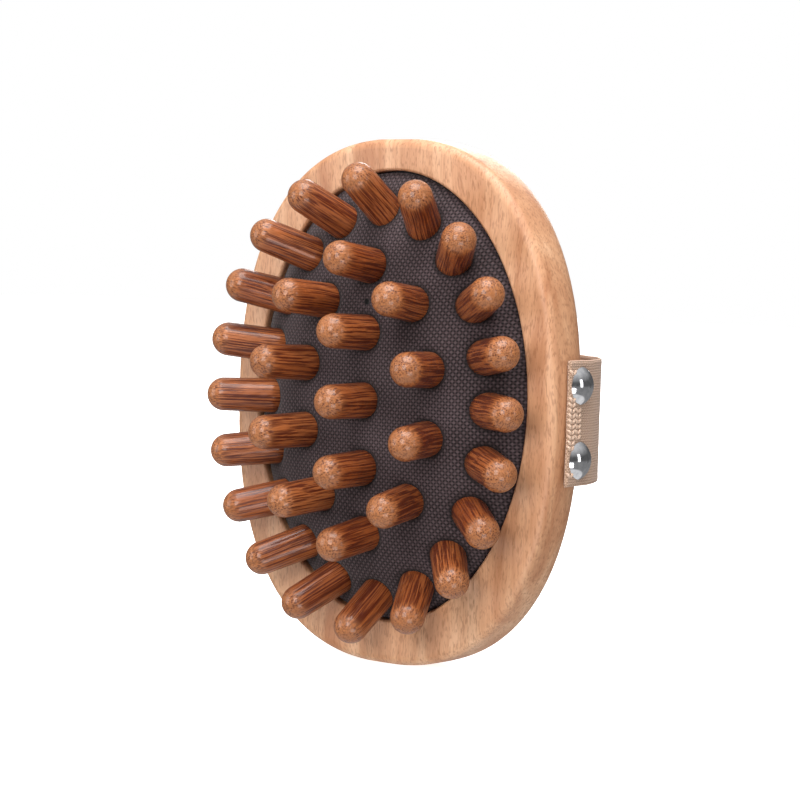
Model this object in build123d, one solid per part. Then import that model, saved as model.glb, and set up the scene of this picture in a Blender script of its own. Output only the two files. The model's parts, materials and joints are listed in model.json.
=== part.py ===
"""Oval hand brush for scalp and body: a beech body, a domed rubber air cushion faced with woven
cloth, thirty-three round-ended wooden pins that each press in along their own axis, and a webbing
hand strap nailed to both sides of the body.

Frame: millimetres. +Z runs up the long axis, the pins point to -Y and the strap stands off at +Y.
The origin is the centre of the flat palm face on the back of the body.
"""

import math
import os

from build123d import *

# ---- wooden body -----------------------------------------------------------------------------
BODY_DEPTH = 18.0  # front rim face to palm face
BODY_POWER = 2.38  # 2 is an ellipse; more fills the corners of the oval out
# (distance behind the front rim, half width, half length) of each section; the ends are nearly
# straight through the middle of the depth, so the brush can stand upright on its lower end
SECTIONS = (
    (0.0, 48.2, 64.80),
    (3.5, 49.35, 65.00),
    (7.5, 49.75, 65.03),
    (11.0, 49.2, 64.95),
    (14.5, 46.3, 64.0),
    (18.0, 40.7, 60.0),
)
WAIST_BACK = 9.0  # how far the widest section lies behind the front
FRONT_ROUND = 2.4
PALM_ROUND = 3.0
END_FLAT = 64.75  # height of the small flats at the two ends, on which the brush can stand

# ---- opening and air chamber -----------------------------------------------------------------
OPENING_HALF = (41.2, 55.5)
OPENING_RAISE = 1.6  # the opening sits a little above the middle, so the lower rim is wider
CHAMBER_DEPTH = 10.5
OPENING_ROUND = 0.7
GROOVE_START = 3.4  # behind the front rim face
GROOVE_HEIGHT = 2.4
GROOVE_REACH = 1.6  # how far the groove runs into the wood
BEAD_GAP = 0.05

# ---- cushion ---------------------------------------------------------------------------------
CUSHION_HALF = (40.7, 55.0)
CUSHION_EDGE = 1.4  # edge of the cloth, behind the front rim face
CROWN = 11.5  # rise of the cushion from its edge to its middle
CROWN_POWER = 3.4  # a high power is flat in the middle and steep at the edge
CLOTH = 0.8
RUBBER = 2.0
DRAW_RADIUS = 50.0  # the cushion is turned as a round one of this radius, then drawn out oval
VENT_UP = 24.9  # vent hole on the middle line, above the middle
VENT_RADIUS = 0.9

# ---- pins ------------------------------------------------------------------------------------
PIN_LENGTH = 12.0  # cloth to the centre of the round tip
PIN_TIP = 4.20  # radius
PIN_ROOT = 4.38  # radius where it leaves the cloth
PIN_RUN = 0.06  # radial clearance of the shaft in its hole
PIN_HEAD = 4.65  # radius of the retaining head inside the cushion
PIN_HEAD_THICK = 1.3
# count, half width and half length of the ring, height of its centre,
# sideways and endways lean at the widest points (as slopes), depth of the head under the cloth
# at the ends of the oval, and how much deeper it lies at the sides
OUTER_RING = (20, 33.7, 47.7, 0.0, 1.30, 0.65, 3.95, 1.85)
INNER_RING = (10, 19.3, 32.8, 0.9, 0.25, 0.14, 3.8, 0.2)
COLUMN_STEP = 16.5
COLUMN_RAISE = 0.9
COLUMN_LEAN = 0.04
COLUMN_HEAD = 3.6

# ---- strap and nails -------------------------------------------------------------------------
STRAP_WIDTH = 30.0
STRAP_MIDDLE = -2.2  # height of the strap's middle
STRAP_THICK = 0.8
STRAP_FOLDED = 1.05  # pressed thickness of the folded end under the nails
STRAP_END = 3.6  # front edge of the folded end, behind the front rim face
STRAP_HALF = 50.25  # half width of the loop, to the middle of the webbing
STRAP_REACH = 34.0  # from the widest section of the body to the top of the loop
STRAP_POWER = 2.2
NAIL_BACK = 9.2  # nails, behind the front rim face
NAIL_HEIGHTS = (6.7, -11.1)
NAIL_HEAD = 4.5
NAIL_DOME = 2.2
NAIL_SHANK = 1.1
NAIL_LENGTH = 10.0
NAIL_GAP = 0.02


def behind(distance):
    """Y of a plane that lies this far behind the front rim face."""
    return distance - BODY_DEPTH


def oval(half_x, half_z, power, y, middle_z=0.0, steps=48):
    """Closed oval outline in a plane of constant Y."""
    points = []
    for i in range(steps):
        turn = 2 * math.pi * i / steps
        c = math.cos(turn)
        s = math.sin(turn)
        x = half_x * math.copysign(abs(c) ** (2 / power), c)
        z = half_z * math.copysign(abs(s) ** (2 / power), s)
        points.append((x, y, middle_z + z))
    return Face(Wire([Spline(*points, periodic=True)]))


def oval_plug(half_x, half_z, y_front, y_back, middle_z):
    """Elliptical block between two planes of constant Y."""
    plane = Plane(origin=(0, y_front, middle_z), x_dir=(1, 0, 0), z_dir=(0, 1, 0))
    return extrude(plane * Ellipse(half_x, half_z), y_back - y_front)


def even_turns(count, half_x, half_z):
    """Turns from the upper end at which points stand evenly spaced along an ellipse."""
    steps = 2000
    lengths = [0.0]
    for i in range(steps):
        turn = 2 * math.pi * (i + 0.5) / steps
        step = math.hypot(half_x * math.cos(turn), half_z * math.sin(turn))
        lengths.append(lengths[-1] + step)
    turns = []
    reached = 0
    for k in range(count):
        wanted = lengths[-1] * k / count
        while lengths[reached + 1] <= wanted:
            reached += 1
        turns.append(2 * math.pi * reached / steps)
    return turns


def cushion_height(x, z):
    """How far the cloth lies behind the front rim face; negative stands proud of it."""
    share = math.hypot(x / CUSHION_HALF[0], (z - OPENING_RAISE) / CUSHION_HALF[1])
    return CUSHION_EDGE - CROWN * (1 - min(share, 1.0) ** CROWN_POWER)


def pin_spots():
    """(foot, direction, head depth) of every pin: outer ring, inner ring, middle column."""
    spots = []
    for count, half_x, half_z, raised, lean_x, lean_z, head, deeper in (OUTER_RING, INNER_RING):
        for turn in even_turns(count, half_x, half_z):
            x = half_x * math.sin(turn)
            z = raised + half_z * math.cos(turn)
            lean = (lean_x * math.sin(turn), lean_z * math.cos(turn))
            spots.append((x, z, lean, head + deeper * abs(math.sin(turn))))
    for step in (1, 0, -1):
        z = COLUMN_RAISE + step * COLUMN_STEP
        spots.append((0.0, z, (0.0, COLUMN_LEAN * step), COLUMN_HEAD))
    placed = []
    for x, z, lean, head in spots:
        foot = Vector(x, behind(cushion_height(x, z)), z)
        way = Vector(lean[0], -1, lean[1]).normalized()
        placed.append((foot, way, head))
    return placed


def pin_plane(foot, way):
    """Plane at a pin's foot whose Z runs out along the pin."""
    return Plane(origin=foot, x_dir=Vector(0, 0, 1).cross(way), z_dir=way)


def wooden_body():
    body = loft([oval(half_x, half_z, BODY_POWER, behind(y)) for y, half_x, half_z in SECTIONS])
    ends = body.faces().sort_by(Axis.Y)
    body = fillet(ends[0].edges(), FRONT_ROUND)
    ends = body.faces().sort_by(Axis.Y)
    body = fillet(ends[-1].edges(), PALM_ROUND)
    body = body & Box(2 * END_FLAT, 2 * END_FLAT, 2 * END_FLAT)
    chamber = oval_plug(*OPENING_HALF, behind(-1), behind(CHAMBER_DEPTH), OPENING_RAISE)
    body = body - chamber
    rim = body.faces().sort_by(Axis.Y)[0].inner_wires()[0].edges()
    body = fillet(rim, OPENING_ROUND)
    groove = oval_plug(
        OPENING_HALF[0] + GROOVE_REACH,
        OPENING_HALF[1] + GROOVE_REACH,
        behind(GROOVE_START),
        behind(GROOVE_START + GROOVE_HEIGHT),
        OPENING_RAISE,
    )
    body = body - groove
    for side in (1, -1):
        for height in NAIL_HEIGHTS:
            body = body - nail_bore(side, height)
    return body


def dome_profile(top, bottom, inner_edge):
    """Half section of the domed cushion between two depths under the cloth face."""

    def curve(below, reach):
        points = []
        for i in range(13):
            share = reach * i / 12
            rise = CROWN * (1 - share**CROWN_POWER)
            points.append((DRAW_RADIUS * share, behind(CUSHION_EDGE - rise + below)))
        return points

    return curve(top, 1.0), curve(bottom, inner_edge)


def drawn_out(profile):
    """Turn a half section about Y, draw it out to the oval of the cushion and set it in place."""
    turned = revolve(profile, axis=Axis.Y)
    stretch = (CUSHION_HALF[0] / DRAW_RADIUS, 1, CUSHION_HALF[1] / DRAW_RADIUS)
    return Pos(0, 0, OPENING_RAISE) * scale(turned, by=stretch)


def half_section(corner_points, upper, lower):
    """Closed half section from an upper curve, straight sides round the edge, and a lower curve."""
    outline = [Spline(*upper)]
    path = [upper[-1], *corner_points, lower[-1]]
    for start, end in zip(path, path[1:]):
        outline.append(Line(start, end))
    outline.append(Spline(*reversed(lower)))
    outline.append(Line(lower[0], upper[0]))
    return make_face(Curve(outline))


def cushion_cloth():
    """Woven facing with a short skirt turned down inside the opening."""
    upper, lower = dome_profile(0.0, CLOTH, 0.985)
    skirt = behind(CUSHION_EDGE + 1.3)
    corners = [(DRAW_RADIUS, skirt), (DRAW_RADIUS * 0.985, skirt)]
    cloth = drawn_out(half_section(corners, upper, lower))
    cloth = cloth - pin_bores()
    return cloth - vent_bore()


def cushion_rubber():
    """Air cushion diaphragm: a domed skin and a bead held in the groove of the body."""
    upper, lower = dome_profile(CLOTH, CLOTH + RUBBER, 0.94)
    upper = upper[:-1]
    reach = (OPENING_HALF[1] + GROOVE_REACH - 0.2) / CUSHION_HALF[1]
    front = behind(GROOVE_START + BEAD_GAP)
    back = behind(GROOVE_START + GROOVE_HEIGHT - BEAD_GAP)
    corners = [
        (DRAW_RADIUS * 0.97, front),
        (DRAW_RADIUS * reach, front),
        (DRAW_RADIUS * reach, back),
        (DRAW_RADIUS * 0.94, back),
    ]
    rubber = drawn_out(half_section(corners, upper, lower))
    rubber = rubber - pin_bores()
    return rubber - vent_bore()


def pin_bores():
    bores = []
    for foot, way, head in pin_spots():
        bore = Cylinder(PIN_ROOT + PIN_RUN, 30)
        bores.append(pin_plane(foot, way).location * bore)
    return bores


def vent_bore():
    plane = Plane(origin=(0, behind(-14), VENT_UP), x_dir=(1, 0, 0), z_dir=(0, 1, 0))
    return extrude(plane * Circle(VENT_RADIUS), 16)


def pin(foot, way, head):
    """Round-ended pin with a retaining head inside the cushion."""
    end = -head - PIN_HEAD_THICK
    outline = Polyline(
        (0, end),
        (PIN_HEAD, end),
        (PIN_HEAD, -head),
        (PIN_ROOT, -head),
        (PIN_ROOT, 0),
        (PIN_TIP, PIN_LENGTH),
    )
    tip = RadiusArc((PIN_TIP, PIN_LENGTH), (0, PIN_LENGTH + PIN_TIP), -PIN_TIP)
    face = make_face(Curve([*outline.edges(), tip, Line((0, PIN_LENGTH + PIN_TIP), (0, end))]))
    turned = Rot(90, 0, 0) * revolve(face, axis=Axis.Y)
    return pin_plane(foot, way).location * turned


def strap_curve(half, reach):
    """One half of the loop, from the side of the body to the top of the loop."""
    points = []
    for i in range(17):
        turn = math.pi / 2 * i / 16
        x = half * math.cos(turn) ** (2 / STRAP_POWER)
        y = behind(WAIST_BACK) + reach * math.sin(turn) ** (2 / STRAP_POWER)
        points.append((x, y))
    return points


def hand_strap():
    """Webbing loop over the back, its folded ends lying on the sides of the body."""
    outer = strap_curve(STRAP_HALF + STRAP_THICK / 2, STRAP_REACH + STRAP_THICK / 2)
    inner = strap_curve(STRAP_HALF - STRAP_THICK / 2, STRAP_REACH - STRAP_THICK / 2)

    def whole(points):
        left = [(-x, y) for x, y in reversed(points[:-1])]
        return points + left

    loop = make_face(
        Curve(
            [
                Spline(*whole(outer), tangents=[(0, 1), (0, -1)]),
                Line((-outer[0][0], outer[0][1]), (-inner[0][0], inner[0][1])),
                Spline(*whole(inner), tangents=[(0, 1), (0, -1)]),
                Line(inner[0], outer[0]),
            ]
        )
    )
    band = extrude(Plane.XY * loop, STRAP_WIDTH / 2, both=True)
    front = behind(STRAP_END)
    back = behind(WAIST_BACK)
    outside = STRAP_HALF + STRAP_THICK / 2 + 0.2
    inside = outside - STRAP_FOLDED
    for side in (1, -1):
        tab = Pos(side * (inside + outside) / 2, (front + back) / 2, 0) * Box(
            STRAP_FOLDED, back - front, STRAP_WIDTH
        )
        fold = tab.edges().filter_by(Axis.Z).group_by(Axis.Y)[0]
        band = band + fillet(fold, STRAP_FOLDED / 2 - 0.05)
    band = Pos(0, 0, STRAP_MIDDLE) * band
    for side in (1, -1):
        for height in NAIL_HEIGHTS:
            band = band - nail_bore(side, height)
    return band


def nail_place(side, height):
    """Location on the outside of the strap whose Z runs out along the nail."""
    outside = STRAP_HALF + STRAP_THICK / 2 + 0.2
    origin = (side * outside, behind(NAIL_BACK), height)
    return Plane(origin=origin, x_dir=(0, 0, 1), z_dir=(side, 0, 0)).location


def nail_bore(side, height):
    aligned = (Align.CENTER, Align.CENTER, Align.MAX)
    bore = Cylinder(NAIL_SHANK + NAIL_GAP, NAIL_LENGTH + 0.5, align=aligned)
    return nail_place(side, height) * bore


def strap_nail(side, height):
    """Round-headed nail: low dome, flat underside, plain shank."""
    crown = (NAIL_HEAD**2 + NAIL_DOME**2) / (2 * NAIL_DOME)
    dome = RadiusArc((NAIL_HEAD, 0.02), (0, NAIL_DOME + 0.02), -crown)
    rest = Polyline(
        (0, NAIL_DOME + 0.02),
        (0, -NAIL_LENGTH),
        (NAIL_SHANK * 0.3, -NAIL_LENGTH),
        (NAIL_SHANK, -NAIL_LENGTH + 3),
        (NAIL_SHANK, 0.02),
        (NAIL_HEAD, 0.02),
    )
    turned = Rot(90, 0, 0) * revolve(make_face(Curve([dome, *rest.edges()])), axis=Axis.Y)
    return nail_place(side, height) * turned


def save(name, shape):
    if isinstance(shape, list):
        shape = Compound(children=shape)
    export_step(shape, os.path.join("parts", name + ".step"))


def main():
    os.makedirs("parts", exist_ok=True)
    save("wooden_body", wooden_body())
    save("cushion_cloth", cushion_cloth())
    save("cushion_rubber", cushion_rubber())
    save("hand_strap", hand_strap())
    for number, spot in enumerate(pin_spots(), start=1):
        save("pin_%02d" % number, pin(*spot))
    for side, side_name in ((1, "right"), (-1, "left")):
        for height, row in zip(NAIL_HEIGHTS, ("upper", "lower")):
            save("nail_%s_%s" % (side_name, row), strap_nail(side, height))


main()
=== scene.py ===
"""Looks of the oval hand brush: beech body, woven air cushion, lacquered pins, webbing strap."""

import json
import math

import bmesh
import bpy
from mathutils import Matrix, Vector, noise


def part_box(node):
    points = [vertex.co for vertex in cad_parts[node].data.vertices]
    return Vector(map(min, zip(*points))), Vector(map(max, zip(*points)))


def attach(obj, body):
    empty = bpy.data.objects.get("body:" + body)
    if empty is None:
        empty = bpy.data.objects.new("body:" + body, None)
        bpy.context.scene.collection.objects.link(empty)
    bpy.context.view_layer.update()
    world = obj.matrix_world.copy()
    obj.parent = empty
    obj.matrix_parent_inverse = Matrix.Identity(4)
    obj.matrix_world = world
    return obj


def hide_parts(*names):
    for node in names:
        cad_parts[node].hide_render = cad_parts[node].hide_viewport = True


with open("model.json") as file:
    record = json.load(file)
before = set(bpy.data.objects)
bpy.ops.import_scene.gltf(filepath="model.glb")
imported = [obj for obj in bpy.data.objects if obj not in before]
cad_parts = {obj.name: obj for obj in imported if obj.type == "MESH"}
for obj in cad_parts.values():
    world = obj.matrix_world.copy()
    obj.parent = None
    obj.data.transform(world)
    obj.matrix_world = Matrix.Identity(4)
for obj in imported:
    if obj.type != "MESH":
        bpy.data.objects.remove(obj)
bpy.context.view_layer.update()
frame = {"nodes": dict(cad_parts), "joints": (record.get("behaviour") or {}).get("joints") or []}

MM = 0.001
BODY = "brush_body"
nodes = frame["nodes"]
body_low, body_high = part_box("wooden_body")
FRONT = body_low.y  # plane of the front rim
PIN_NAMES = sorted(name for name in nodes if name.startswith("pin_"))
NAIL_NAMES = sorted(name for name in nodes if name.startswith("nail_"))
PRESS = {joint["child"]: Vector(joint["axis"]) for joint in frame["joints"]}

# pins, as in the CAD
PIN_LENGTH = 12.0 * MM  # cloth to the centre of the round tip
PIN_TIP = 4.20 * MM
PIN_ROOT = 4.38 * MM
PIN_SINK = 3.6 * MM  # how much of the shaft is kept below the cloth


# ---- node helpers ----------------------------------------------------------------------------
def new_material(name):
    material = bpy.data.materials.new(name)
    material.use_nodes = True
    tree = material.node_tree
    shader = next(node for node in tree.nodes if node.type == "BSDF_PRINCIPLED")
    return material, tree, shader


def wire(tree, source, target):
    tree.links.new(source, target)
    return target


def add(tree, kind, **settings):
    node = tree.nodes.new(kind)
    for key, value in settings.items():
        if hasattr(node, key):
            setattr(node, key, value)
        else:
            node.inputs[key.replace("_", " ")].default_value = value
    return node


def math_node(tree, operation, a, b=None, c=None, clamp=False):
    node = add(tree, "ShaderNodeMath", operation=operation, use_clamp=clamp)
    for socket, value in zip(node.inputs, (a, b, c)):
        if value is None:
            continue
        if isinstance(value, (int, float)):
            socket.default_value = value
        else:
            tree.links.new(value, socket)
    return node.outputs[0]


def mapping(tree, vector, scale=(1, 1, 1), location=(0, 0, 0)):
    node = add(tree, "ShaderNodeMapping")
    node.inputs["Scale"].default_value = scale
    node.inputs["Location"].default_value = location
    tree.links.new(vector, node.inputs["Vector"])
    return node.outputs["Vector"]


def ramp(tree, factor, stops):
    node = add(tree, "ShaderNodeValToRGB")
    elements = node.color_ramp.elements
    while len(elements) < len(stops):
        elements.new(0.5)
    for element, (position, colour) in zip(elements, stops):
        element.position = position
        element.color = (*colour, 1.0)
    tree.links.new(factor, node.inputs["Fac"])
    return node.outputs["Color"]


def grey(tree, factor, stops):
    return ramp(tree, factor, [(position, (level,) * 3) for position, level in stops])


def mix(tree, factor, first, second, blend="MIX"):
    node = add(tree, "ShaderNodeMix", data_type="RGBA", blend_type=blend)
    for socket, value in ((node.inputs[0], factor), (node.inputs[6], first), (node.inputs[7], second)):
        if isinstance(value, (int, float)):
            socket.default_value = value
        elif isinstance(value, tuple):
            socket.default_value = (*value, 1.0)
        else:
            tree.links.new(value, socket)
    return node.outputs[2]


def noise_node(tree, vector, scale, detail=2.0, roughness=0.5, distortion=0.0):
    node = add(tree, "ShaderNodeTexNoise")
    node.inputs["Scale"].default_value = scale
    node.inputs["Detail"].default_value = detail
    node.inputs["Roughness"].default_value = roughness
    node.inputs["Distortion"].default_value = distortion
    tree.links.new(vector, node.inputs["Vector"])
    return node.outputs["Fac"]


def bump(tree, shader, height, strength, distance):
    node = add(tree, "ShaderNodeBump")
    node.inputs["Strength"].default_value = strength
    node.inputs["Distance"].default_value = distance
    tree.links.new(height, node.inputs["Height"])
    tree.links.new(node.outputs["Normal"], shader.inputs["Normal"])


def ridges(tree, value, frequency):
    """Rounded ridges: the absolute sine of the value times the frequency."""
    wave = math_node(tree, "SINE", math_node(tree, "MULTIPLY", value, frequency))
    return math_node(tree, "ABSOLUTE", wave)


def srgb(red, green, blue):
    """Linear colour from 0-255 display values."""

    def linear(value):
        value /= 255
        return value / 12.92 if value <= 0.04045 else ((value + 0.055) / 1.055) ** 2.4

    return tuple(linear(value) for value in (red, green, blue))


# ---- materials -------------------------------------------------------------------------------
THREAD_PITCH = 0.76 * MM  # cushion cloth
TWILL_ROW = 0.62 * MM  # webbing


def beech():
    """Fine pinkish beech, grain up the long axis, with the short dark flecks of its rays."""
    material, tree, shader = new_material("beech")
    place = add(tree, "ShaderNodeTexCoord").outputs["Object"]
    drift = add(tree, "ShaderNodeTexNoise", Scale=28.0, Detail=2.0)
    wire(tree, place, drift.inputs["Vector"])
    warped = add(tree, "ShaderNodeVectorMath", operation="MULTIPLY_ADD")
    wire(tree, drift.outputs["Color"], warped.inputs[0])
    warped.inputs[1].default_value = (0.006, 0.006, 0.006)
    wire(tree, place, warped.inputs[2])
    fibre = warped.outputs[0]
    figure = noise_node(tree, mapping(tree, fibre, (150, 110, 10)), 1.0, 3.0, 0.55, 0.9)
    tone = ramp(
        tree,
        figure,
        [(0.30, srgb(176, 119, 82)), (0.5, srgb(202, 151, 113)), (0.70, srgb(220, 176, 140))],
    )
    fine = noise_node(tree, mapping(tree, fibre, (2600, 1800, 140)), 1.0, 2.0, 0.6)
    tone = mix(tree, grey(tree, fine, [(0.35, 0.0), (0.75, 0.45)]), tone, srgb(170, 118, 82))
    flecks = noise_node(tree, mapping(tree, fibre, (2300, 1500, 560)), 1.0, 1.0, 0.45)
    fleck = grey(tree, flecks, [(0.56, 0.0), (0.66, 0.42)])
    tone = mix(tree, fleck, tone, srgb(138, 88, 56))
    dashes = noise_node(tree, mapping(tree, fibre, (1500, 1500, 330)), 1.0, 1.0, 0.4)
    dash = grey(tree, dashes, [(0.60, 0.0), (0.70, 0.40)])
    tone = mix(tree, dash, tone, srgb(142, 92, 60))
    wire(tree, tone, shader.inputs["Base Color"])
    rough = grey(tree, fine, [(0.3, 0.42), (0.8, 0.58)])
    wire(tree, rough, shader.inputs["Roughness"])
    shader.inputs["Coat Weight"].default_value = 0.10
    shader.inputs["Coat Roughness"].default_value = 0.35
    height = math_node(tree, "SUBTRACT", fine, fleck)
    bump(tree, shader, height, 0.3, 0.00008)
    return material


def bamboo():
    """Dark turned bamboo under gloss lacquer: fibre bundles run along the pin, so they show as
    streaks on the shaft and as dots on the round end."""
    material, tree, shader = new_material("bamboo")
    place = add(tree, "ShaderNodeTexCoord").outputs["Object"]
    which = add(tree, "ShaderNodeObjectInfo").outputs["Object Index"]
    lot = add(tree, "ShaderNodeTexWhiteNoise", noise_dimensions="1D")
    wire(tree, which, lot.inputs["W"])
    chance = add(tree, "ShaderNodeSeparateColor")
    wire(tree, lot.outputs["Color"], chance.inputs["Color"])
    bundle_scale = math_node(tree, "MULTIPLY_ADD", chance.outputs[0], 600.0, 1800.0)

    shift = add(tree, "ShaderNodeVectorMath", operation="MULTIPLY_ADD")
    wire(tree, lot.outputs["Color"], shift.inputs[0])
    shift.inputs[1].default_value = (0.3, 0.3, 0.3)
    wire(tree, place, shift.inputs[2])
    moved = shift.outputs[0]

    wander = add(tree, "ShaderNodeTexNoise", Scale=1.0, Detail=1.0)
    wire(tree, mapping(tree, moved, (160, 160, 60)), wander.inputs["Vector"])
    warped = add(tree, "ShaderNodeVectorMath", operation="MULTIPLY_ADD")
    wire(tree, wander.outputs["Color"], warped.inputs[0])
    warped.inputs[1].default_value = (0.0011, 0.0011, 0.0)
    wire(tree, moved, warped.inputs[2])
    along = mapping(tree, warped.outputs[0], (1, 1, 0.05))

    dots = add(tree, "ShaderNodeTexVoronoi", voronoi_dimensions="3D", feature="F1")
    wire(tree, along, dots.inputs["Vector"])
    wire(tree, bundle_scale, dots.inputs["Scale"])
    bundle = grey(tree, dots.outputs["Distance"], [(0.22, 0.85), (0.50, 0.0)])
    strength = noise_node(tree, mapping(tree, moved, (380, 380, 60)), 1.0, 2.0)
    bundle = math_node(tree, "MULTIPLY", bundle, grey(tree, strength, [(0.34, 0.3), (0.54, 0.95)]))

    streak = noise_node(tree, mapping(tree, warped.outputs[0], (2400, 2400, 50)), 1.0, 2.0, 0.6)
    board = noise_node(tree, mapping(tree, moved, (240, 240, 18)), 1.0, 1.0)
    tone = ramp(
        tree,
        math_node(tree, "MULTIPLY_ADD", chance.outputs[1], 0.35, board),
        [(0.3, srgb(136, 68, 30)), (0.6, srgb(154, 84, 42)), (0.95, srgb(168, 98, 54))],
    )
    tone = mix(tree, grey(tree, streak, [(0.47, 0.0), (0.57, 0.9)]), tone, srgb(78, 25, 9))
    height = add(tree, "ShaderNodeSeparateXYZ")
    wire(tree, place, height.inputs[0])
    end = add(tree, "ShaderNodeMapRange", interpolation_type="SMOOTHSTEP")
    wire(tree, height.outputs["Z"], end.inputs["Value"])
    end.inputs["From Min"].default_value = PIN_LENGTH - 1.5 * MM
    end.inputs["From Max"].default_value = PIN_LENGTH + 3.6 * MM
    pale = mix(tree, math_node(tree, "MULTIPLY", end.outputs[0], 0.6), tone, srgb(168, 112, 70))
    tone = mix(tree, bundle, pale, srgb(82, 32, 15))
    wire(tree, tone, shader.inputs["Base Color"])
    shader.inputs["Roughness"].default_value = 0.45
    shader.inputs["Specular IOR Level"].default_value = 0.25
    shader.inputs["Coat Weight"].default_value = 0.45
    shader.inputs["Coat Roughness"].default_value = 0.12
    relief = math_node(tree, "SUBTRACT", streak, math_node(tree, "MULTIPLY", bundle, 1.5))
    lumps = noise_node(tree, mapping(tree, moved, (1100, 1100, 500)), 1.0, 1.0)
    relief = math_node(tree, "MULTIPLY_ADD", lumps, 4.5, relief)
    bump(tree, shader, relief, 0.8, 0.00008)
    return material


def cushion_weave():
    """Plain weave of dark grey-violet threads, with dark pores between them; on top, a painted
    highlight on the raised crossings, painted shade round the foot of each pin and a near-black painted
    shade for the vent hole.
    """
    material, tree, shader = new_material("cushion_weave")
    place = add(tree, "ShaderNodeTexCoord").outputs["UV"]
    wobble = add(tree, "ShaderNodeTexNoise", Scale=110.0, Detail=2.0)
    wire(tree, place, wobble.inputs["Vector"])
    warped = add(tree, "ShaderNodeVectorMath", operation="MULTIPLY_ADD")
    wire(tree, wobble.outputs["Color"], warped.inputs[0])
    warped.inputs[1].default_value = (0.0007, 0.0007, 0.0)
    wire(tree, place, warped.inputs[2])
    split = add(tree, "ShaderNodeSeparateXYZ")
    wire(tree, warped.outputs[0], split.inputs[0])
    turns = math.pi / THREAD_PITCH
    across = math_node(tree, "SINE", math_node(tree, "MULTIPLY", split.outputs["X"], turns))
    upward = math_node(tree, "SINE", math_node(tree, "MULTIPLY", split.outputs["Y"], turns))
    over = math_node(tree, "MULTIPLY", across, upward)
    upright = math_node(tree, "ABSOLUTE", across)
    level = math_node(tree, "ABSOLUTE", upward)
    thread = math_node(tree, "MAXIMUM", upright, level)
    lift = math_node(tree, "MULTIPLY_ADD", over, 0.22, thread)
    lint = noise_node(tree, mapping(tree, place, (1100, 1100, 1100)), 1.0, 2.0, 0.7)
    patch = noise_node(tree, mapping(tree, place, (70, 70, 70)), 1.0, 2.0)
    tint = ramp(
        tree,
        patch,
        [(0.3, srgb(46, 33, 35)), (0.5, srgb(56, 42, 44)), (0.7, srgb(66, 52, 55))],
    )
    pores = grey(tree, thread, [(0.55, 0.12), (0.85, 0.6), (1.0, 1.0)])
    tone = mix(tree, 1.0, tint, pores, "MULTIPLY")
    # painted highlight: the crossings where a thread lies on top are lightened
    crossing_highlight = grey(tree, over, [(0.05, 0.0), (0.60, 0.36)])
    tone = mix(tree, crossing_highlight, tone, srgb(110, 94, 96))
    tone = mix(tree, grey(tree, lint, [(0.5, 0.0), (0.8, 0.3)]), tone, srgb(88, 74, 78))
    # painted shade: the cloth darkened to near black where it meets each pin, as a contact shadow
    grip = add(tree, "ShaderNodeAttribute", attribute_name="grip").outputs["Fac"]
    tone = mix(tree, grey(tree, grip, [(0.0, 0.0), (1.0, 0.85)]), tone, srgb(18, 12, 12))
    # painted shade: a near-black disc drawn where the vent hole is, over a mesh that only dips a little
    away = add(tree, "ShaderNodeVectorMath", operation="DISTANCE")
    wire(tree, place, away.inputs[0])
    away.inputs[1].default_value = (VENT.x, VENT.z, 0.0)
    near = math_node(tree, "DIVIDE", away.outputs["Value"], VENT_SHADE_RADIUS)
    tone = mix(tree, grey(tree, near, [(0.75, 1.0), (1.0, 0.0)]), tone, srgb(6, 4, 4))
    wire(tree, tone, shader.inputs["Base Color"])
    shader.inputs["Roughness"].default_value = 0.8
    shader.inputs["Specular IOR Level"].default_value = 0.25
    shader.inputs["Sheen Weight"].default_value = 0.10
    shader.inputs["Sheen Roughness"].default_value = 0.5
    bump(tree, shader, math_node(tree, "MULTIPLY_ADD", lint, 0.2, lift), 0.8, 0.00014)
    return material


def rubber():
    material, tree, shader = new_material("rubber")
    place = add(tree, "ShaderNodeTexCoord").outputs["Object"]
    cloudy = noise_node(tree, place, 300.0, 3.0)
    tone = ramp(tree, cloudy, [(0.3, srgb(38, 36, 38)), (0.7, srgb(56, 53, 55))])
    wire(tree, tone, shader.inputs["Base Color"])
    wire(tree, grey(tree, cloudy, [(0.3, 0.6), (0.7, 0.8)]), shader.inputs["Roughness"])
    bump(tree, shader, cloudy, 0.2, 0.0001)
    return material


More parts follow.
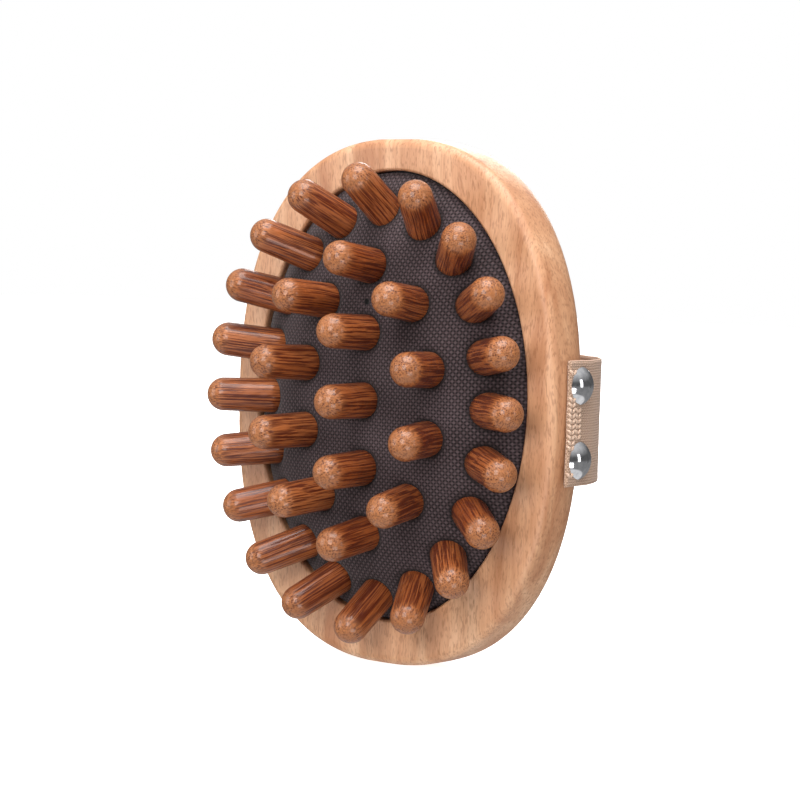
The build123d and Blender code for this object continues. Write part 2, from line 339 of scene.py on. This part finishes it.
def webbing():
    """Beige webbing: a fine twill with plainer selvedges along both long edges."""
    material, tree, shader = new_material("webbing")
    place = add(tree, "ShaderNodeTexCoord").outputs["UV"]
    wobble = add(tree, "ShaderNodeTexNoise", Scale=260.0, Detail=2.0)
    wire(tree, place, wobble.inputs["Vector"])
    warped = add(tree, "ShaderNodeVectorMath", operation="MULTIPLY_ADD")
    wire(tree, wobble.outputs["Color"], warped.inputs[0])
    warped.inputs[1].default_value = (0.0004, 0.0004, 0.0)
    wire(tree, place, warped.inputs[2])
    split = add(tree, "ShaderNodeSeparateXYZ")
    wire(tree, warped.outputs[0], split.inputs[0])
    rows = math_node(tree, "DIVIDE", split.outputs["Y"], TWILL_ROW)
    lean = math_node(tree, "MULTIPLY", math_node(tree, "PINGPONG", rows, 1.0), 0.9)
    steps = math_node(tree, "DIVIDE", split.outputs["X"], TWILL_ROW * 1.3)
    slanted = math_node(tree, "ADD", steps, lean)
    yarn = ridges(tree, slanted, math.pi)
    furrow = ridges(tree, rows, math.pi)
    relief = math_node(
        tree, "MULTIPLY", math_node(tree, "POWER", yarn, 0.6), math_node(tree, "POWER", furrow, 0.45)
    )
    fuzz = noise_node(tree, mapping(tree, place, (2600, 2600, 2600)), 1.0, 2.0, 0.7)
    patch = noise_node(tree, mapping(tree, place, (140, 140, 140)), 1.0, 2.0)
    tone = ramp(
        tree, relief, [(0.1, srgb(118, 84, 64)), (0.5, srgb(174, 138, 112)), (0.9, srgb(206, 172, 148))]
    )
    tone = mix(tree, grey(tree, patch, [(0.35, 0.0), (0.7, 0.4)]), tone, srgb(182, 146, 120))
    tone = mix(tree, grey(tree, fuzz, [(0.45, 0.0), (0.75, 0.3)]), tone, srgb(204, 174, 152))
    wire(tree, tone, shader.inputs["Base Color"])
    shader.inputs["Roughness"].default_value = 0.85
    shader.inputs["Sheen Weight"].default_value = 0.2
    bump(tree, shader, math_node(tree, "MULTIPLY_ADD", fuzz, 0.2, relief), 0.8, 0.0002)
    return material


def stitch_yarn():
    """Plump beige yarn, twisted: pale with a darker slanting line."""
    material, tree, shader = new_material("stitch_yarn")
    place = add(tree, "ShaderNodeTexCoord").outputs["Object"]
    split = add(tree, "ShaderNodeSeparateXYZ")
    wire(tree, place, split.inputs[0])
    slant = math_node(tree, "ADD", split.outputs["Y"], split.outputs["Z"])
    ply = ridges(tree, slant, 9000.0)
    fuzz = noise_node(tree, mapping(tree, place, (2600, 2600, 2600)), 1.0, 2.0, 0.7)
    tone = ramp(tree, ply, [(0.1, srgb(186, 148, 122)), (0.6, srgb(214, 182, 158))])
    tone = mix(tree, grey(tree, fuzz, [(0.4, 0.0), (0.75, 0.5)]), tone, srgb(228, 202, 182))
    wire(tree, tone, shader.inputs["Base Color"])
    shader.inputs["Roughness"].default_value = 0.8
    shader.inputs["Sheen Weight"].default_value = 0.25
    bump(tree, shader, math_node(tree, "ADD", ply, fuzz), 0.5, 0.00008)
    return material


def chrome():
    material, tree, shader = new_material("chrome")
    place = add(tree, "ShaderNodeTexCoord").outputs["Object"]
    haze = noise_node(tree, place, 900.0, 3.0)
    shader.inputs["Metallic"].default_value = 1.0
    tone = ramp(tree, haze, [(0.3, srgb(200, 200, 204)), (0.7, srgb(224, 224, 226))])
    wire(tree, tone, shader.inputs["Base Color"])
    wire(tree, grey(tree, haze, [(0.35, 0.06), (0.75, 0.14)]), shader.inputs["Roughness"])
    bump(tree, shader, noise_node(tree, place, 420.0, 1.0), 0.05, 0.0001)
    return material


# ---- mesh helpers ----------------------------------------------------------------------------
def mesh_object(name, vertices, faces, smooth=True):
    mesh = bpy.data.meshes.new(name)
    mesh.from_pydata([tuple(v) for v in vertices], [], faces)
    mesh.update()
    if smooth:
        mesh.polygons.foreach_set("use_smooth", [True] * len(mesh.polygons))
    piece = bpy.data.objects.new(name, mesh)
    bpy.context.scene.collection.objects.link(piece)
    return piece


def grid_faces(rows, columns, closed_columns):
    faces = []
    for i in range(rows - 1):
        for j in range(columns if closed_columns else columns - 1):
            k = (j + 1) % columns
            this, above = i * columns, (i + 1) * columns
            faces.append((this + j, this + k, above + k, above + j))
    return faces


def turned_mesh(name, profile, sides=64):
    """Mesh turned about Z from (radius, height) points; the first and last lie on the axis."""
    vertices = [(0, 0, profile[0][1])]
    for radius, height in profile[1:-1]:
        for k in range(sides):
            turn = 2 * math.pi * k / sides
            vertices.append((radius * math.cos(turn), radius * math.sin(turn), height))
    vertices.append((0, 0, profile[-1][1]))
    last = len(vertices) - 1
    faces = []
    for k in range(sides):
        n = (k + 1) % sides
        faces.append((0, 1 + n, 1 + k))
        for ring in range(len(profile) - 3):
            a = 1 + ring * sides
            faces.append((a + k, a + n, a + sides + n, a + sides + k))
        top = 1 + (len(profile) - 3) * sides
        faces.append((top + k, top + n, last))
    mesh = bpy.data.meshes.new(name)
    mesh.from_pydata(vertices, [], faces)
    mesh.polygons.foreach_set("use_smooth", [True] * len(mesh.polygons))
    mesh.update()
    return mesh


# ---- pins ------------------------------------------------------------------------------------
def pin_axis(name):
    """Foot on the cloth and outward direction of a pin, from its CAD node."""
    way = -PRESS[name]
    tip = max((vertex.co for vertex in nodes[name].data.vertices), key=lambda co: co.dot(way))
    return tip - way * (PIN_LENGTH + PIN_TIP), way


def pin_profile():
    profile = [(0, -PIN_SINK), (PIN_ROOT, -PIN_SINK)]
    for i in range(13):
        share = i / 12
        radius = PIN_ROOT + (PIN_TIP - PIN_ROOT) * share
        profile.append((radius, PIN_LENGTH * share))
    for i in range(1, 16):
        turn = math.pi / 2 * i / 16
        profile.append((PIN_TIP * math.cos(turn), PIN_LENGTH + PIN_TIP * math.sin(turn)))
    profile.append((0, PIN_LENGTH + PIN_TIP))
    return profile


def make_pins(material):
    mesh = turned_mesh("pin", pin_profile())
    mesh.materials.append(material)
    for number, name in enumerate(PIN_NAMES, start=1):
        foot, way = pin_axis(name)
        piece = bpy.data.objects.new("peg_" + name[-2:], mesh)
        bpy.context.scene.collection.objects.link(piece)
        spin = Matrix.Rotation(2.4 * number, 4, "Z")
        turn = way.to_track_quat("Z", "Y").to_matrix().to_4x4()
        piece.matrix_world = Matrix.Translation(foot) @ turn @ spin
        piece.pass_index = number
        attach(piece, name)
        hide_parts(name)


# ---- cushion ---------------------------------------------------------------------------------
CLOTH_LOW, CLOTH_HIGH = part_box("cushion_cloth")
CUSHION_HALF_X = CLOTH_HIGH.x
CUSHION_HALF_Z = (CLOTH_HIGH.z - CLOTH_LOW.z) / 2
CUSHION_MIDDLE = (CLOTH_HIGH.z + CLOTH_LOW.z) / 2
SKIRT = 1.3 * MM
CUSHION_EDGE = CLOTH_HIGH.y - SKIRT
CUSHION_CROWN = CUSHION_EDGE - CLOTH_LOW.y
CROWN_POWER = 3.4
VENT = Vector((0, 0, 24.9 * MM))
# radius of the near-black disc painted as shade in the vent hole
VENT_SHADE_RADIUS = 0.9 * MM
VENT_DIMPLE = 1.6 * MM  # radius of the dimple round the vent
VENT_DEPTH = 0.8 * MM
LIP_REACH = 2.2 * MM  # how far round a pin the cloth dips
LIP_DEPTH = 0.45 * MM
PIN_SHADE_REACH = 1.1 * MM  # how far the painted shade round a pin's foot fades
PIN_NEAR = 12 * MM  # beyond this a pin doesn't touch the cloth round a point
# how near a pin must be to add painted shade round a point
PIN_SHADE_NEAR = 9 * MM
CLOTH_RINGS = 96
CLOTH_SPOKES = 480


def cushion_point(share, turn, axes):
    """Point of the cloth face, dipped a little where it grips a pin."""
    x = CUSHION_HALF_X * share * math.cos(turn)
    z = CUSHION_MIDDLE + CUSHION_HALF_Z * share * math.sin(turn)
    y = CUSHION_EDGE - CUSHION_CROWN * (1 - share**CROWN_POWER)
    point = Vector((x, y, z))
    for foot, way in axes:
        gap = point - foot
        if abs(gap.x) > PIN_NEAR or abs(gap.z) > PIN_NEAR:
            continue
        off = (gap - way * gap.dot(way)).length
        reach = (off - PIN_ROOT) / LIP_REACH
        if reach < 1:
            depth = LIP_DEPTH * (1 - max(reach, 0.0)) ** 2
            point = point - way * depth
    vent = math.hypot(x - VENT.x, z - VENT.z)
    if vent < VENT_DIMPLE:
        point.y += VENT_DEPTH * (1 - vent / VENT_DIMPLE) ** 2
    return point


def grip_at(point, axes):
    """Painted shade round a pin's foot: 1 where the cloth touches a pin, fading to 0 within a
    millimetre.
    """
    strongest = 0.0
    for foot, way in axes:
        gap = point - foot
        if abs(gap.x) < PIN_SHADE_NEAR and abs(gap.z) < PIN_SHADE_NEAR:
            off = (gap - way * gap.dot(way)).length
            strongest = max(strongest, 1 - (off - PIN_ROOT) / PIN_SHADE_REACH)
    return min(strongest, 1.0)


def make_cushion(material):
    """Domed cloth with a short skirt at its edge, in rings and spokes round the middle."""
    axes = [pin_axis(name) for name in PIN_NAMES]
    rings, spokes = CLOTH_RINGS, CLOTH_SPOKES
    vertices = []
    for i in range(1, rings + 1):
        share = i / rings
        for j in range(spokes):
            vertices.append(cushion_point(share, 2 * math.pi * j / spokes, axes))
    faces = grid_faces(rings, spokes, True)
    centre = len(vertices)
    vertices.append(cushion_point(0.0, 0.0, axes))
    faces += [(centre, (j + 1) % spokes, j) for j in range(spokes)]
    skirt = len(vertices)
    for j in range(spokes):
        edge = vertices[(rings - 1) * spokes + j]
        vertices.append(edge + Vector((0, SKIRT, 0)))
    outer = (rings - 1) * spokes
    for j in range(spokes):
        k = (j + 1) % spokes
        faces.append((outer + j, outer + k, skirt + k, skirt + j))
    piece = mesh_object("cushion_cover", vertices, faces)
    layer = piece.data.uv_layers.new(name="weave")
    for loop in piece.data.loops:
        co = piece.data.vertices[loop.vertex_index].co
        layer.data[loop.index].uv = (co.x, co.z)
    # painted shade round each pin's foot, stored per point for the cloth material
    grip = piece.data.attributes.new("grip", "FLOAT", "POINT")
    for vertex in piece.data.vertices:
        grip.data[vertex.index].value = grip_at(vertex.co, axes)
    piece.data.materials.append(material)
    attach(piece, BODY)
    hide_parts("cushion_cloth")
    return piece


# ---- strap -----------------------------------------------------------------------------------
STRAP_LOW, STRAP_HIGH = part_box("hand_strap")
STRAP_HALF = 50.25 * MM  # half width of the loop, to the middle of the webbing
STRAP_POWER = 2.2
STRAP_THICK = 0.8 * MM
STRAP_REACH = STRAP_HIGH.y - STRAP_THICK / 2 - (FRONT + 9.0 * MM)
STRAP_MIDDLE = (STRAP_HIGH.z + STRAP_LOW.z) / 2
STRAP_WIDE = STRAP_HIGH.z - STRAP_LOW.z
STRAP_FRONT = STRAP_LOW.y
STRAP_OUTSIDE = STRAP_HIGH.x
TAB = 5.4 * MM  # doubled end
TAB_OUTSIDE = 0.18 * MM  # what the doubled end adds outside and inside
TAB_INSIDE = 0.03 * MM
STRAP_STEP = 0.5 * MM  # length of one section of the mesh
STRAP_LANES = 44
SELVEDGE_ROUND = 0.4 * MM


def smooth_step(low, high, value):
    share = min(max((value - low) / (high - low), 0.0), 1.0)
    return share * share * (3 - 2 * share)


def strap_path():
    """Middle line of the loop from the front edge on the right over the back to the left."""
    turn_back = STRAP_FRONT + TAB
    right = [(STRAP_HALF, STRAP_FRONT + TAB * i / 12) for i in range(12)]
    for i in range(121):
        turn = math.pi / 2 * i / 120
        x = STRAP_HALF * math.cos(turn) ** (2 / STRAP_POWER)
        y = turn_back + STRAP_REACH * math.sin(turn) ** (2 / STRAP_POWER)
        right.append((x, y))
    points = right + [(-x, y) for x, y in reversed(right[:-1])]
    lengths = [0.0]
    for (x0, y0), (x1, y1) in zip(points, points[1:]):
        lengths.append(lengths[-1] + math.hypot(x1 - x0, y1 - y0))
    return points, lengths


def strap_at(points, lengths, reached):
    """Place and outward normal at a length along the middle line."""
    low, high = 0, len(lengths) - 1
    while high - low > 1:
        middle = (low + high) // 2
        if lengths[middle] <= reached:
            low = middle
        else:
            high = middle
    (x0, y0), (x1, y1) = points[low], points[high]
    share = (reached - lengths[low]) / max(lengths[high] - lengths[low], 1e-9)
    share = min(max(share, 0.0), 1.0)
    along = Vector((x1 - x0, y1 - y0, 0)).normalized()
    return Vector((x0 + (x1 - x0) * share, y0 + (y1 - y0) * share, 0)), Vector((along.y, -along.x, 0))


def make_strap(material, yarn):
    """Webbing loop: a flat ring of lanes carried along the path, thicker at its doubled ends."""
    points, lengths = strap_path()
    total = lengths[-1]
    sections = int(total / STRAP_STEP)
    half_wide = STRAP_WIDE / 2
    lanes = STRAP_LANES
    ring = 2 * (lanes + 1)
    vertices = []
    uvs = []
    for i in range(sections + 1):
        reached = total * i / sections
        edge = min(reached, total - reached)
        place, out = strap_at(points, lengths, reached)
        doubled = 1 - smooth_step(TAB - 1.2 * MM, TAB + 0.6 * MM, edge)
        outer = STRAP_THICK / 2 + TAB_OUTSIDE * doubled
        inner = STRAP_THICK / 2 + TAB_INSIDE * doubled
        middle = (outer - inner) / 2
        half_thick = (outer + inner) / 2
        if edge < half_thick:
            half_thick *= math.sqrt(max(1 - (1 - edge / half_thick) ** 2, 0.0004))
        wander = 0.12 * MM * noise.noise(Vector((reached * 160, 3.1, 0.0)))
        for side in (1, -1):
            for lane in range(lanes + 1):
                share = 2 * lane / lanes - 1
                across = math.copysign(1 - (1 - abs(share)) ** 1.35, share) * side
                wide = across * half_wide
                inset = half_wide - abs(wide)
                thick = half_thick
                thick *= 1 + 0.16 * math.exp(-(((inset - 1.0 * MM) / (0.5 * MM)) ** 2))
                if inset < SELVEDGE_ROUND:
                    thick *= math.sqrt(max(1 - (1 - inset / SELVEDGE_ROUND) ** 2, 0.0))
                ripple = 0.28 * MM * noise.noise(Vector((wide * 130, 7.7, reached * 4)))
                fade = 1 - smooth_step(1.0 * MM, 4.0 * MM, edge)
                back = Vector((0, 1, 0)) * (ripple + 0.12 * MM) * fade
                spot = place + out * (middle + side * thick) + back
                spot.z = STRAP_MIDDLE + wide + wander * smooth_step(8 * MM, 0, inset)
                vertices.append(spot)
                uvs.append((reached, wide))
    faces = grid_faces(sections + 1, ring, True)
    faces.append(tuple(reversed(range(ring))))
    faces.append(tuple(range(sections * ring, (sections + 1) * ring)))
    piece = mesh_object("strap", vertices, faces)
    layer = piece.data.uv_layers.new(name="weave")
    for loop in piece.data.loops:
        layer.data[loop.index].uv = uvs[loop.vertex_index]
    tidy = bmesh.new()
    tidy.from_mesh(piece.data)
    bmesh.ops.remove_doubles(tidy, verts=tidy.verts, dist=0.00001)
    bmesh.ops.recalc_face_normals(tidy, faces=tidy.faces)
    tidy.to_mesh(piece.data)
    tidy.free()
    piece.data.polygons.foreach_set("use_smooth", [True] * len(piece.data.polygons))
    piece.data.materials.append(material)
    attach(piece, BODY)
    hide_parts("hand_strap")

    for side, side_name in ((1, "right"), (-1, "left")):
        cloth = make_stitches(side, side_name, yarn)
    print("strap length", round(total * 1000, 2))
    return piece


STITCH_PITCH = 1.28 * MM
STITCH_ROWS = 20
STITCH_COLUMNS = (1.55 * MM, 4.15 * MM)  # behind the front edge of the strap
STITCH_FAT = 0.40 * MM
NAIL_CLEAR = 0.3 * MM


def under_nail(side, y, z):
    """Whether that place on the folded end is hidden by the head of a nail."""
    for name in NAIL_NAMES:
        low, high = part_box(name)
        middle = (low + high) / 2
        if middle.x * side > 0:
            radius = (high.z - low.z) / 2
            if math.hypot(y - middle.y, z - middle.z) < radius + NAIL_CLEAR:
                return True
    return False


def make_stitches(side, side_name, yarn):
    """Two columns of plump V-shaped loops that bind the folded end of the strap."""
    vertices = []
    faces = []
    sides = 8
    rings = 7
    for row in range(STITCH_ROWS):
        height = STRAP_MIDDLE + (row - (STITCH_ROWS - 1) / 2) * STITCH_PITCH
        for column, middle in enumerate(STITCH_COLUMNS):
            if under_nail(side, STRAP_FRONT + middle, height):
                continue
            for hand in (1, -1):
                sway = 0.12 * MM * noise.noise(Vector((row * 0.9, column * 5.0, side * 3.0)))
                start = Vector((0, middle + hand * 1.22 * MM + sway, height + 0.55 * MM))
                stop = Vector((0, middle + hand * 0.22 * MM + sway, height - 0.55 * MM))
                base = len(vertices)
                along = (stop - start).normalized()
                cross = Vector((1, 0, 0)).cross(along)
                for i in range(rings):
                    share = i / (rings - 1)
                    fat = STITCH_FAT * math.sin(math.pi * (0.12 + 0.76 * share)) ** 0.6
                    centre = start + (stop - start) * share
                    rise = 0.16 * MM * math.sin(math.pi * share)
                    droop = max(0.0, 0.75 * MM - centre.y)
                    for k in range(sides):
                        turn = 2 * math.pi * k / sides
                        off = cross * math.cos(turn) * fat
                        x = STRAP_OUTSIDE - 0.05 * MM + rise + math.sin(turn) * fat * 0.7
                        x -= droop * droop / (1.1 * MM)
                        y = STRAP_FRONT + centre.y + off.y
                        vertices.append(Vector((side * x, y, centre.z + off.z)))
                for i in range(rings - 1):
                    for k in range(sides):
                        n = (k + 1) % sides
                        a = base + i * sides
                        faces.append((a + k, a + n, a + sides + n, a + sides + k))
                faces.append(tuple(base + k for k in reversed(range(sides))))
                last = base + (rings - 1) * sides
                faces.append(tuple(last + k for k in range(sides)))
    piece = mesh_object("strap_stitches_" + side_name, vertices, faces)
    tidy = bmesh.new()
    tidy.from_mesh(piece.data)
    bmesh.ops.recalc_face_normals(tidy, faces=tidy.faces)
    tidy.to_mesh(piece.data)
    tidy.free()
    piece.data.polygons.foreach_set("use_smooth", [True] * len(piece.data.polygons))
    piece.data.materials.append(yarn)
    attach(piece, BODY)
    return piece


# ---- light, floor and camera -----------------------------------------------------------------
def direction(azimuth, elevation):
    """Unit vector from the object towards a viewer there; azimuth 0 stands at -Y."""
    a = math.radians(azimuth)
    e = math.radians(elevation)
    return Vector((math.sin(a) * math.cos(e), -math.cos(a) * math.cos(e), math.sin(e)))


def softbox(name, azimuth, elevation, distance, width, height, power):
    light = bpy.data.lights.new(name, "AREA")
    light.shape = "RECTANGLE"
    light.size = width
    light.size_y = height
    light.energy = power
    lamp = bpy.data.objects.new(name, light)
    lamp.visible_camera = False
    bpy.context.scene.collection.objects.link(lamp)
    towards = direction(azimuth, elevation)
    turn = towards.to_track_quat("Z", "Y").to_matrix().to_4x4()
    lamp.matrix_world = Matrix.Translation(towards * distance) @ turn


def make_world():
    """White behind the object for the camera, a soft dim room with a bright ceiling for light."""
    world = bpy.data.worlds.new("studio")
    world.use_nodes = True
    bpy.context.scene.world = world
    tree = world.node_tree
    backdrop = tree.nodes["Background"]
    backdrop.inputs["Color"].default_value = (1, 1, 1, 1)
    backdrop.inputs["Strength"].default_value = 1.0
    room = add(tree, "ShaderNodeBackground")
    up = add(tree, "ShaderNodeSeparateXYZ")
    wire(tree, add(tree, "ShaderNodeTexCoord").outputs["Generated"], up.inputs[0])
    height = math_node(tree, "MULTIPLY_ADD", up.outputs["Z"], 0.5, 0.5)
    bands = [(0.17, 0.85), (0.20, 0.30), (0.44, 0.26), (0.50, 0.12), (0.62, 0.12), (0.92, 0.75)]
    glow = grey(tree, height, bands)
    wire(tree, glow, room.inputs["Color"])
    room.inputs["Strength"].default_value = 1.0
    pick = add(tree, "ShaderNodeMixShader")
    wire(tree, add(tree, "ShaderNodeLightPath").outputs["Is Camera Ray"], pick.inputs[0])
    wire(tree, room.outputs[0], pick.inputs[1])
    wire(tree, backdrop.outputs[0], pick.inputs[2])
    wire(tree, pick.outputs[0], tree.nodes["World Output"].inputs["Surface"])


def make_floor():
    """White paper that glows a little, so that it stays white up to the horizon."""
    size = 3.0
    height = body_low.z - 0.0002
    sides = [(-size, -size), (size, -size), (size, size), (-size, size)]
    corners = [(x, y, height) for x, y in sides]
    piece = mesh_object("floor", corners, [(0, 1, 2, 3)])
    piece.visible_diffuse = False
    piece.visible_glossy = False
    piece.visible_shadow = False
    material, tree, shader = new_material("floor_paper")
    place = add(tree, "ShaderNodeTexCoord").outputs["Object"]
    tone = grey(tree, noise_node(tree, place, 4.0), [(0.3, 0.90), (0.7, 0.92)])
    wire(tree, tone, shader.inputs["Base Color"])
    shader.inputs["Roughness"].default_value = 0.9
    shader.inputs["Specular IOR Level"].default_value = 0.0
    shader.inputs["Emission Color"].default_value = (1, 1, 1, 1)
    shader.inputs["Emission Strength"].default_value = 0.80
    piece.data.materials.append(material)


def sunlight(azimuth, elevation, strength, spread):
    light = bpy.data.lights.new("sky", "SUN")
    light.energy = strength
    light.angle = math.radians(spread)
    lamp = bpy.data.objects.new("sky", light)
    bpy.context.scene.collection.objects.link(lamp)
    towards = direction(azimuth, elevation)
    lamp.matrix_world = towards.to_track_quat("Z", "Y").to_matrix().to_4x4()


def make_camera():
    """Camera that sees the brush three-quarter from its right, near level, a little tilted."""
    back = direction(36.7, 3.45)
    right = Vector((0, 0, 1)).cross(back).normalized()
    up = back.cross(right)
    roll = math.radians(1.64)
    tilted_right = right * math.cos(roll) + up * math.sin(roll)
    tilted_up = up * math.cos(roll) - right * math.sin(roll)
    target = Vector((0, FRONT, 0))
    place = target + back * 0.600 + tilted_right * 0.00322 + tilted_up * 0.00065
    data = bpy.data.cameras.new("camera")
    data.sensor_width = 36.0
    data.lens = 109.5
    camera = bpy.data.objects.new("camera", data)
    bpy.context.scene.collection.objects.link(camera)
    turn = Matrix((tilted_right, tilted_up, back)).transposed().to_4x4()
    camera.matrix_world = Matrix.Translation(place) @ turn
    bpy.context.scene.camera = camera


# ---- the brush -------------------------------------------------------------------------------
def dress(name, material):
    """Give a CAD node that is shown as it is a better material."""
    piece = nodes[name]
    piece.data.materials.clear()
    piece.data.materials.append(material)


bpy.context.scene.view_settings.view_transform = "Standard"
make_camera()
make_world()
make_floor()
softbox("window_front", 14, 18, 1.0, 0.42, 0.50, 5.0)
softbox("fill_left", -42, 8, 1.0, 0.5, 0.6, 3.2)
softbox("fill_low", 50, -22, 1.0, 0.5, 0.4, 3.0)
softbox("window_side", 92, 10, 1.0, 0.22, 0.55, 1.0)
softbox("ceiling", 30, 74, 0.9, 0.7, 0.7, 9)
softbox("window_back", 205, 24, 1.1, 0.5, 0.5, 5)
sunlight(20, 70, 0.8, 60)

dress("wooden_body", beech())
dress("cushion_rubber", rubber())
steel = chrome()
for nail in NAIL_NAMES:
    dress(nail, steel)
make_pins(bamboo())
make_cushion(cushion_weave())
make_strap(webbing(), stitch_yarn())
